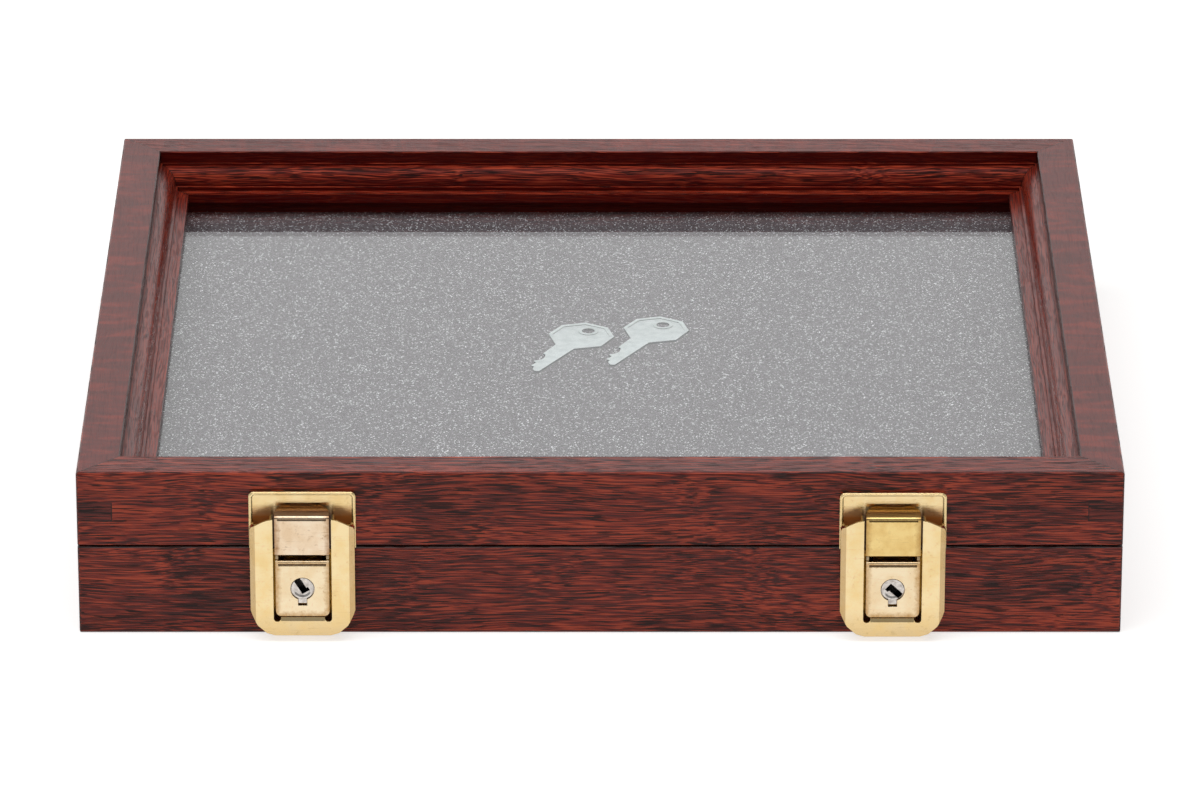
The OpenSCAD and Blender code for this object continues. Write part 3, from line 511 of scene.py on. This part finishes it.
def plated_nickel(name, light, dull, rough, cloud=0.35, face=None, edges=None):
    """Nickel plate over brass, with clouded patches and hairline scratches. Where the face of a lock
    is given, in mm along Y, what lies behind it is painted near black, a painted shade. edges is the
    colour painted on the upright sides of flat pieces, a painted shade."""
    made, tree = material(name)
    co = add(tree, "ShaderNodeTexCoord")
    mm = add(tree, "ShaderNodeMapping", {"Scale": (1000, 1000, 1000)}, {"Vector": co.outputs["Object"]})
    patch = add(tree, "ShaderNodeTexNoise", {"Scale": cloud, "Detail": 4.0}, {"Vector": mm})
    colour = add(tree, "ShaderNodeValToRGB", links={0: patch})
    stops(colour, (0.3, dull), (0.6, light))
    lines = add(tree, "ShaderNodeMapping", {"Rotation": (0.3, 0.5, 0.9), "Scale": (0.15, 6.0, 6.0)},
                {"Vector": mm})
    hair = add(tree, "ShaderNodeTexNoise", {"Scale": 1.0, "Detail": 2.0}, {"Vector": lines})
    duller = add(tree, "ShaderNodeMapRange", ends(0.4, 0.7, rough - 0.06, rough + 0.12), {"Value": hair})
    # behind the face of a lock the colour is painted near black, a painted shade in the recess
    if face:
        spot = add(tree, "ShaderNodeSeparateXYZ", links={0: mm})
        behind = add(tree, "ShaderNodeMapRange", ends(face, face + 0.5, 0.0, 0.96),
                     {"Value": spot.outputs[1]})
        colour = add(tree, "ShaderNodeMix", {"B": linear(LOCK_SHADE)}, {"Factor": behind, "A": colour},
                     data_type="RGBA")
    # the upright sides of flat pieces are painted dark, a painted shade
    if edges:
        facing = add(tree, "ShaderNodeSeparateXYZ", links={0: co.outputs["Normal"]})
        cut = add(tree, "ShaderNodeMapRange", ends(0.3, 0.8, 1.0, 0.0), {"Value": facing.outputs[2]})
        colour = add(tree, "ShaderNodeMix", {"B": linear(edges)}, {"Factor": cut, "A": colour},
                     data_type="RGBA")
    eased = add(tree, "ShaderNodeBevel", {"Radius": 0.0001 if edges else 0.0002}, samples=6)
    skin = add(tree, "ShaderNodeBsdfPrincipled", {"Metallic": 1.0},
               {"Base Color": colour, "Roughness": duller, "Normal": eased})
    add(tree, "ShaderNodeOutputMaterial", links={"Surface": skin})
    return made


wear(["key_left", "key_right"], plated_nickel("nickel_plated_brass_keys", light="#f1f7f8", dull="#dce4e5",
                                              rough=0.34, edges="#5c6468"))

# The lid's frame is four oak rails with the moulding cut in one run round the inside: a flat
# top, an upright wall, a convex moulding with a bead line, and the ledge over the glass.
for rail, along_y, offset, rays in (
        ("front", False, (520, -12, -20), 0.0), ("back", False, (-330, 9, 25), 0.5),
        ("left", True, (60, 44, -14), 0.92), ("right", True, (-95, -26, 21), 0.92)):
    wear([f"lid_{rail}_rail"], stained_oak(f"mahogany_stained_oak_lid_{rail}", along_y, offset, rays=rays))

# Each mitre of the lid is locked by a key of darker oak let in across the corner. Its grain
# runs with the corner, so it shows as a plain patch with faint slanting marks.
KEY_REACH = 0.0104
KEY_LOW, KEY_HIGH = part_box("lid_corner_keys")


def let_in_key(tree, colour, height, from_side, from_end):
    """The colour with the joint round a let-in key as a thin dark outline."""
    spread = add(tree, "ShaderNodeMath", links={0: from_side, 1: from_end}, operation="ADD")
    end_gap = add(tree, "ShaderNodeMath", {0: KEY_REACH}, {1: spread}, operation="SUBTRACT")
    aside = away(tree, height, (KEY_LOW[2] + KEY_HIGH[2]) / 2)
    side_gap = add(tree, "ShaderNodeMath", {0: (KEY_HIGH[2] - KEY_LOW[2]) / 2}, {1: aside},
                   operation="SUBTRACT")
    off = add(tree, "ShaderNodeMath", links={0: end_gap, 1: side_gap}, operation="MINIMUM")
    return dark_line(tree, colour, off, 0.0002, 0.0004, 0.8)


wear(["lid_corner_keys"], stained_oak("stained_oak_corner_keys", False, (12, 70, 9), ring=2.2, mid="#611d17",
                                      pale="#8a3223", dark="#3d110d", joint=let_in_key))

# Square oak strips hold the glass up from below. They are mitred at the corners and pinned to
# the rails, and their stain is painted nearly black, a painted shade for where they lie under the ledge.
wear(["glass_stops"], stained_oak("stained_oak_glass_stops_painted_shade", False, (200, 5, 90), mid="#2c0c09",
                                  pale="#3e130d", dark="#1a0706", joint=None))

# The pane is 2.4 mm float glass with ground edges. It mirrors the white wall behind the case,
# which veils the dark bed, and lamps shine through it.
pane, tree = material("clear_float_glass")
path = add(tree, "ShaderNodeLightPath")
clear = add(tree, "ShaderNodeBsdfPrincipled",
            {"Base Color": linear("#f7f9f8"), "Roughness": 0.0, "IOR": 1.5, "Transmission Weight": 1.0})
open_way = add(tree, "ShaderNodeBsdfTransparent", {"Color": linear("#f4f5f5")})
both = add(tree, "ShaderNodeMixShader", links={0: path.outputs["Is Shadow Ray"], 1: clear, 2: open_way})
add(tree, "ShaderNodeOutputMaterial", links={"Surface": both})
wear(["glass_pane"], pane)

# Solid brass butt hinges join the lid to the base at the back: leaves let into the rails,
# three knuckles on a pin, and countersunk screws. The brass is polished and lacquered.
def brass(name, light="#f8deaa", mid="#f0d094", dull="#a87c44", rough=0.08, worn=0.4, eased_mm=0.22,
          wear_and_shade=None, **places):
    """Lacquered brass with hairlines, cloudy lacquer and worn patches. The function given for one kind of
    piece adds what use has done to it and the shade painted into its hollows. It takes the places, which
    are in mm, and gives the new colour and how far the surface stays metallic."""
    made, tree = material(name)
    co = add(tree, "ShaderNodeTexCoord")
    mm = add(tree, "ShaderNodeMapping", {"Scale": (1000, 1000, 1000)}, {"Vector": co.outputs["Object"]})
    cloud = add(tree, "ShaderNodeTexNoise", {"Scale": 0.16, "Detail": 5.0, "Roughness": 0.6}, {"Vector": mm})
    spots = add(tree, "ShaderNodeTexNoise", {"Scale": 0.55, "Detail": 4.0, "Roughness": 0.7}, {"Vector": mm})
    colour = add(tree, "ShaderNodeValToRGB", links={0: cloud})
    stops(colour, (0.35, mid), (0.6, light))
    patches = add(tree, "ShaderNodeMapRange", ends(0.58, 0.75, 0.0, worn), {"Value": spots})
    colour = add(tree, "ShaderNodeMix", {"B": linear(dull)}, {"Factor": patches, "A": colour},
                 data_type="RGBA")
    # hairlines a tenth of a millimetre wide and some millimetres long, in two directions
    one = add(tree, "ShaderNodeMapping", {"Rotation": (0, 0.9, 0), "Scale": (0.12, 1.0, 7.0)}, {"Vector": mm})
    first = add(tree, "ShaderNodeTexNoise", {"Scale": 1.0, "Detail": 2.0}, {"Vector": one})
    two = add(tree, "ShaderNodeMapping", {"Rotation": (0, -0.5, 0.2), "Scale": (0.1, 1.0, 6.0)},
              {"Vector": mm})
    second = add(tree, "ShaderNodeTexNoise", {"Scale": 1.0, "Detail": 2.0}, {"Vector": two})
    hair = add(tree, "ShaderNodeMath", links={0: first, 1: second}, operation="MAXIMUM")
    duller = add(tree, "ShaderNodeMapRange", ends(0.5, 0.8, rough, rough + 0.14), {"Value": hair})
    # the bevels and side walls are painted duller and darker than the face, a painted shade
    facing = add(tree, "ShaderNodeSeparateXYZ", links={0: co.outputs["Normal"]})
    bevel_shade = add(tree, "ShaderNodeMath", links={0: facing.outputs[0]}, operation="ABSOLUTE")
    bevel_shade = add(tree, "ShaderNodeMapRange", ends(0.3, 0.7, 0.0, 0.45), {"Value": bevel_shade})
    colour = add(tree, "ShaderNodeMix", {"B": linear(dull)}, {"Factor": bevel_shade, "A": colour},
                 data_type="RGBA")
    # the longest scratches go through the lacquer
    scratch = add(tree, "ShaderNodeMapRange", ends(0.7, 0.76, 0.0, 0.5), {"Value": hair})
    colour = add(tree, "ShaderNodeMix", {"B": linear(dull)}, {"Factor": scratch, "A": colour},
                 data_type="RGBA")
    bare = None
    if wear_and_shade:
        spot = add(tree, "ShaderNodeSeparateXYZ", links={0: mm})
        colour, bare = wear_and_shade(tree, colour, dull, spot, cloud, spots, **places)
    dents = add(tree, "ShaderNodeMath", links={0: cloud, 1: hair}, operation="SUBTRACT")
    # pressed sheet has small round edges, which catch the light
    eased = add(tree, "ShaderNodeBevel", {"Radius": eased_mm / 1000}, samples=6)
    relief = add(tree, "ShaderNodeBump", {"Strength": 0.25, "Distance": 0.00006},
                 {"Height": dents, "Normal": eased})
    skin = add(tree, "ShaderNodeBsdfPrincipled", {"Metallic": 1.0},
               {"Base Color": colour, "Roughness": duller, "Normal": relief})
    if bare:
        tree.links.new(bare.outputs[0], skin.inputs["Metallic"])
    add(tree, "ShaderNodeOutputMaterial", links={"Surface": skin})
    return made


polished = brass("lacquered_brass")
wear(["hinge_leaf_base_left", "hinge_leaf_base_right", "hinge_leaf_lid_left", "hinge_leaf_lid_right",
      "hinge_pin_left", "hinge_pin_right", "hinge_screws_base", "hinge_screws_lid"], polished)

# The strike plates on the lid are pressed brass with a raised rim and a lip for the hook.
# Screws with slotted heads hold them under the hooks. LATCHES gives each latch's middle along
# X and how much lower it was fitted, in mm.
LATCHES = {"left": (-86.75, 0.0), "right": (85.25, 0.4)}
SHADE_TOP = 41.6
SHADE_DEPTH = 4.0
HOOK_ROOM = 8.9
PLATE_INNER = 14.4
# warm brown painted on the strike plate under the cover, a painted shade
SHADED_BRASS = "#b05a04"
# near black painted in the recesses of the latches, a painted shade
RECESS_SHADE = "#2c1a08"


def shaded_strike(tree, colour, dull, spot, cloud, spots, middle, top):
    """Below top the plate is painted a warm shade under the cover, a painted shade, and painted near black
    beside the hook.
    """
    aside = away(tree, spot.outputs[0], middle)
    within = add(tree, "ShaderNodeMath", {1: PLATE_INNER}, {0: aside}, operation="LESS_THAN")
    shade = add(tree, "ShaderNodeMapRange", ends(top - SHADE_DEPTH, top, 0.9, 0.0),
                {"Value": spot.outputs[2]})
    shade = add(tree, "ShaderNodeMath", links={0: shade, 1: within}, operation="MULTIPLY")
    colour = add(tree, "ShaderNodeMix", {"B": linear(SHADED_BRASS)}, {"Factor": shade, "A": colour},
                 data_type="RGBA")
    # beside the hook the plate is painted near black, a painted shade
    hidden = add(tree, "ShaderNodeMapRange", ends(HOOK_ROOM, HOOK_ROOM + 0.4, 0.8, 0.0), {"Value": aside})
    hidden = add(tree, "ShaderNodeMath", links={0: hidden, 1: shade}, operation="MULTIPLY")
    colour = add(tree, "ShaderNodeMix", {"B": linear(RECESS_SHADE)}, {"Factor": hidden, "A": colour},
                 data_type="RGBA")
    return colour, add(tree, "ShaderNodeMath", {0: 1.0}, {1: shade}, operation="SUBTRACT")


for side, (middle, drop) in LATCHES.items():
    wear([f"strike_plate_{side}"], brass(f"strike_brass_{side}", rough=0.16, worn=0.5, eased_mm=0.5,
                                         wear_and_shade=shaded_strike, middle=middle, top=SHADE_TOP - drop))
wear(["strike_screws"], polished)

# The latches on the base: a flat plate screwed to the rail, and over it a cover pressed from
# thin brass sheet with bevelled sides, a bent strip and an open channel for the moving parts.
CHANNEL_HALF = 9.0
CHANNEL_FOOT = 8.3
COVER_FACE = -141.4


def channelled_cover(tree, colour, dull, spot, cloud, spots, middle):
    """The walls of the channel are painted near black, a painted shade. The foot was handled least and has
    dulled.
    """
    aside = away(tree, spot.outputs[0], middle)
    within = add(tree, "ShaderNodeMath", {1: CHANNEL_HALF}, {0: aside}, operation="LESS_THAN")
    # the channel's walls behind the face are painted near black, a painted shade
    sunk = add(tree, "ShaderNodeMapRange", ends(COVER_FACE + 0.05, COVER_FACE + 0.3, 0.0, 0.85),
               {"Value": spot.outputs[1]})
    sunk = add(tree, "ShaderNodeMath", links={0: sunk, 1: within}, operation="MULTIPLY")
    above = add(tree, "ShaderNodeMath", {1: CHANNEL_FOOT}, {0: spot.outputs[2]}, operation="GREATER_THAN")
    channel_shade = add(tree, "ShaderNodeMath", links={0: sunk, 1: above}, operation="MULTIPLY")
    colour = add(tree, "ShaderNodeMix", {"B": linear(RECESS_SHADE)}, {"Factor": channel_shade, "A": colour},
                 data_type="RGBA")
    low = add(tree, "ShaderNodeMapRange", ends(3.0, 11.0, 0.55, 0.0), {"Value": spot.outputs[2]})
    low = add(tree, "ShaderNodeMath", links={0: low, 1: cloud}, operation="MULTIPLY")
    colour = add(tree, "ShaderNodeMix", {"B": linear(dull)}, {"Factor": low, "A": colour}, data_type="RGBA")
    return colour, add(tree, "ShaderNodeMath", {1: -0.6, 2: 1.0}, {0: channel_shade}, operation="MULTIPLY_ADD")


# The latch plates, screws, rivets, hook pins and lock tongues lie in the shade inside the latch, so their
# brass is painted darker, a painted shade.
shade_dark_brass = brass("brass_darkened_for_shade", light="#d09a40", mid="#b47a24", dull="#6a4210", rough=0.4)
wear(["latch_plate_left", "latch_plate_right", "latch_screws", "lever_rivets"], shade_dark_brass)
for side in LATCHES:
    wear([f"latch_cover_{side}"], brass(f"pressed_lacquered_brass_{side}", light="#fae2b0", mid="#f4d69a",
                                        rough=0.1, worn=0.3, wear_and_shade=channelled_cover, middle=LATCHES[side][0]))

# The levers are what fingers lift, so their lacquer is rubbed and paler. Each carries a pin
# for its hook.
LEVER_HALF = (7.8, 8.85)
LEVER_MIDDLE = 17.38
LEVER_LINE = 24.78
OVER_LEVER = 60.0
# dark brown painted behind the faces of levers and hooks, a painted shade
BEHIND_SHADE = "#2a1a0c"
PRESSED_LINE = "#4a3012"


def handled_face(tree, colour, dull, spot, cloud, spots, middle, half, line, top, crown):
    """The face is rubbed bright in the middle and dull towards its edges. What lies behind it below top
    is painted dark, a painted shade, polish has dried in a pressed line, and the crown value is how far
    the colour above that line is painted toward the dull colour. middle and half hold a value along X and one
    along Z."""
    aside = away(tree, spot.outputs[0], middle[0])
    up = away(tree, spot.outputs[2], middle[1])
    side_gap = add(tree, "ShaderNodeMath", {0: half[0]}, {1: aside}, operation="SUBTRACT")
    end_gap = add(tree, "ShaderNodeMath", {0: half[1]}, {1: up}, operation="SUBTRACT")
    rim = add(tree, "ShaderNodeMath", links={0: side_gap, 1: end_gap}, operation="MINIMUM")
    uneven = add(tree, "ShaderNodeMath", {1: 3.0, 2: -1.5}, {0: spots}, operation="MULTIPLY_ADD")
    rim = add(tree, "ShaderNodeMath", links={0: rim, 1: uneven}, operation="SUBTRACT")
    rim = add(tree, "ShaderNodeMapRange", ends(0.0, 1.8, 0.75, 0.0), {"Value": rim})
    # above the pressed line the colour is painted even: a lever's bead lighter, a painted highlight, and a
    # hook's bend darker, a painted shade
    below = add(tree, "ShaderNodeMath", {1: line + 1.0}, {0: spot.outputs[2]}, operation="LESS_THAN")
    rim = add(tree, "ShaderNodeMix", {"A": crown}, {"Factor": below, "B": rim}, data_type="FLOAT")
    colour = add(tree, "ShaderNodeMix", {"B": linear(dull)}, {"Factor": rim, "A": colour}, data_type="RGBA")
    # below top what lies behind the face is painted dark, a painted shade
    behind = add(tree, "ShaderNodeMapRange", ends(COVER_FACE + 0.4, COVER_FACE + 1.0, 0.0, 0.9),
                 {"Value": spot.outputs[1]})
    under = add(tree, "ShaderNodeMath", {1: top}, {0: spot.outputs[2]}, operation="LESS_THAN")
    behind = add(tree, "ShaderNodeMath", links={0: behind, 1: under}, operation="MULTIPLY")
    colour = add(tree, "ShaderNodeMix", {"B": linear(BEHIND_SHADE)}, {"Factor": behind, "A": colour},
                 data_type="RGBA")
    groove = add(tree, "ShaderNodeMapRange", ends(0.18, 0.36, 0.9, 0.0),
                 {"Value": away(tree, spot.outputs[2], line)})
    within = add(tree, "ShaderNodeMath", {1: half[0] - 0.8}, {0: aside}, operation="LESS_THAN")
    groove = add(tree, "ShaderNodeMath", links={0: groove, 1: within}, operation="MULTIPLY")
    colour = add(tree, "ShaderNodeMix", {"B": linear(PRESSED_LINE)}, {"Factor": groove, "A": colour},
                 data_type="RGBA")
    return colour, None


for side, (middle, drop) in LATCHES.items():
    rubbed = brass(f"rubbed_brass_{side}", light="#f8e4c0", mid="#f0d6ac", dull="#b08040", rough=0.1,
                   worn=0.55, wear_and_shade=handled_face, middle=(middle, LEVER_MIDDLE - drop), half=LEVER_HALF,
                   line=LEVER_LINE - drop, top=OVER_LEVER, crown=0.3)
    wear([f"lock_lever_{side}"], rubbed)
wear(["hook_pin_left", "hook_pin_right"], shade_dark_brass)

# The draw hooks reach over the strike's lip. The left one is worn to the pinkish brass under
# its lacquer, the right one is still yellow.
HOOK_HALF = (7.95, 8.0)
HOOK_MIDDLE = 34.0
HOOK_LINE = 39.13
HOOK_BEND = 38.0
for side, name, light, mid, dull, rough, worn in (
        ("left", "worn_pink_brass", "#f6e0c4", "#e8cba8", "#9c6c3c", 0.12, 0.7),
        ("right", "yellow_brass", "#f2d490", "#e4bf78", "#ac8044", 0.1, 0.4)):
    middle, drop = LATCHES[side]
    handled = brass(name, light, mid, dull, rough, worn, wear_and_shade=handled_face,
                    middle=(middle, HOOK_MIDDLE - drop), half=HOOK_HALF, line=HOOK_LINE - drop,
                    top=HOOK_BEND - drop, crown=0.85)
    wear([f"draw_hook_{side}"], handled)

# The locks are nickel-plated: a sleeve behind the lever, a turning plug with its keyway, and a
# brass tongue on the plug's back.
LOCK_FACE = -140.9
wear(["lock_barrel_left", "lock_barrel_right", "lock_plug_left", "lock_plug_right"],
     plated_nickel("nickel_plated_lock", light="#e2dcd6", dull="#b4aca6", rough=0.16, cloud=0.8,
                   face=LOCK_FACE))
wear(["lock_tongue_left", "lock_tongue_right"], shade_dark_brass)
